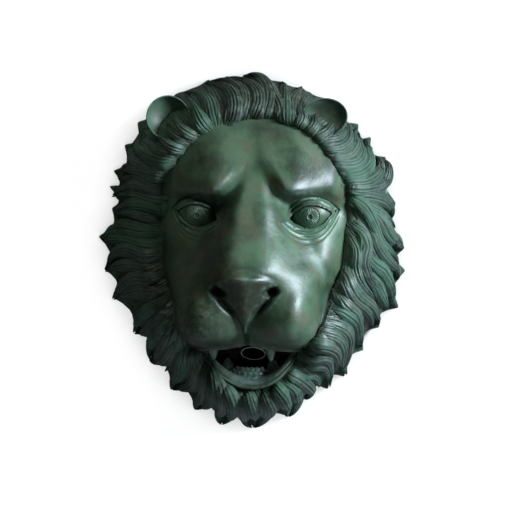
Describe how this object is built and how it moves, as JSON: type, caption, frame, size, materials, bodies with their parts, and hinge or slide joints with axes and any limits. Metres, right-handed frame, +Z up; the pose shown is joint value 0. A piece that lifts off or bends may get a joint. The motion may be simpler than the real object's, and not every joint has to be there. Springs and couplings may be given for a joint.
{
  "type": "lion head wall fountain",
  "caption": "Wall fountain shaped as a roaring lion's head: hollow patinated bronze mask with a pipe spout in the open mouth, a valved supply line behind it and studs for the wall.",
  "frame": {"origin": "on the wall plane, at the middle of the four wall studs, in the middle plane of the face", "axes": "+Z up, -Y out of the wall along the lion's gaze, +X to the viewer's right"},
  "size_m": [0.351, 0.2437, 0.416],
  "materials": {
    "patinated_bronze": "cast bronze with a dark green patina, worn smooth on the high points",
    "copper_tube": "drawn copper, dulled",
    "copper_fitting": "pressed copper fitting, dulled",
    "brass_fitting": "machined brass",
    "chromed_ball": "polished",
    "seat_plastic": "white seat plastic",
    "steel_hardware": "stainless, satin",
    "lever_paint": "red dipped coating on steel",
    "lug_bronze": "raw cast bronze, brown",
    "washer_fibre": "red-brown fibre"
  },
  "bodies": {
    "mask": {"cross_bar": "steel_hardware", "ear_left": "patinated_bronze", "ear_right": "patinated_bronze", "face_casting": "patinated_bronze", "fibre_washer": "washer_fibre", "inlet_elbow": "copper_fitting", "lower_jaw": "patinated_bronze", "lower_teeth": "patinated_bronze", "lug_lower_left": "lug_bronze", "lug_lower_right": "lug_bronze", "lug_upper_left": "lug_bronze", "lug_upper_right": "lug_bronze", "mane_beard": "patinated_bronze", "mane_crown": "patinated_bronze", "mane_left": "patinated_bronze", "mane_right": "patinated_bronze", "olive_lower": "brass_fitting", "olive_upper": "brass_fitting", "packing_nut": "brass_fitting", "pipe_saddle": "steel_hardware", "riser_lower": "copper_tube", "riser_upper": "copper_tube", "saddle_bolts": "steel_hardware", "saddle_nuts": "steel_hardware", "spout_elbow": "copper_fitting", "spout_pipe": "copper_tube", "stud_nuts": "steel_hardware", "supply_tail": "copper_tube", "upper_fangs": "patinated_bronze", "valve_body": "brass_fitting", "valve_nut_lower": "brass_fitting", "valve_nut_upper": "brass_fitting", "valve_seats": "seat_plastic", "wall_studs": "steel_hardware"},
    "valve_handle": {"valve_ball": "chromed_ball", "valve_stem": "steel_hardware", "valve_lever": "lever_paint", "lever_nut": "steel_hardware"},
    "swivel": {"swivel_nut": "brass_fitting"}
  },
  "joints": [
    {"name": "valve_turn", "type": "hinge", "parent": "mask", "child": "valve_handle", "pos_m": [0, -0.034, -0.01634], "axis": [0, 1, 0], "range_deg": [0, 90]},
    {"name": "swivel_nut_spin", "type": "hinge", "parent": "mask", "child": "swivel", "pos_m": [0, 0.06, 0.062], "axis": [0, 1, 0], "continuous": true}
  ]
}
